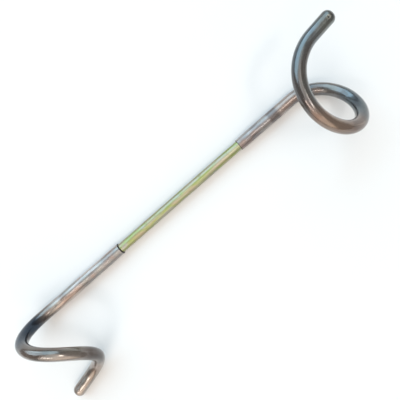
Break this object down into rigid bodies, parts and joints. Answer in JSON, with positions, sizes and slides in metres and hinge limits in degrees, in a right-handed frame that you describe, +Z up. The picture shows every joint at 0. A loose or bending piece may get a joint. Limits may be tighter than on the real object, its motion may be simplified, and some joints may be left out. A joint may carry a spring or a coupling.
{
  "type": "double pigtail tent stake",
  "caption": "Straight plated steel rod with an open left-handed pigtail coil at each end, both ends in blunt vinyl sleeves, for looping and hanging lines.",
  "frame": {"origin": "middle of the bare stretch of the straight shank, on the rod's axis", "axes": "+X along the shank to the head coil, +Z up from the table it lies on, +Y to the left of +X"},
  "size_m": [0.2664, 0.0757, 0.0612],
  "materials": {
    "plated_steel": "yellow zinc plate, iridescent yellow-green, satin drawn bar",
    "vinyl": "glossy grey-taupe vinyl, softly streaked along its length"
  },
  "bodies": {
    "root": {"rod": "plated_steel", "head_sleeve": "vinyl", "foot_sleeve": "vinyl"}
  },
  "joints": []
}
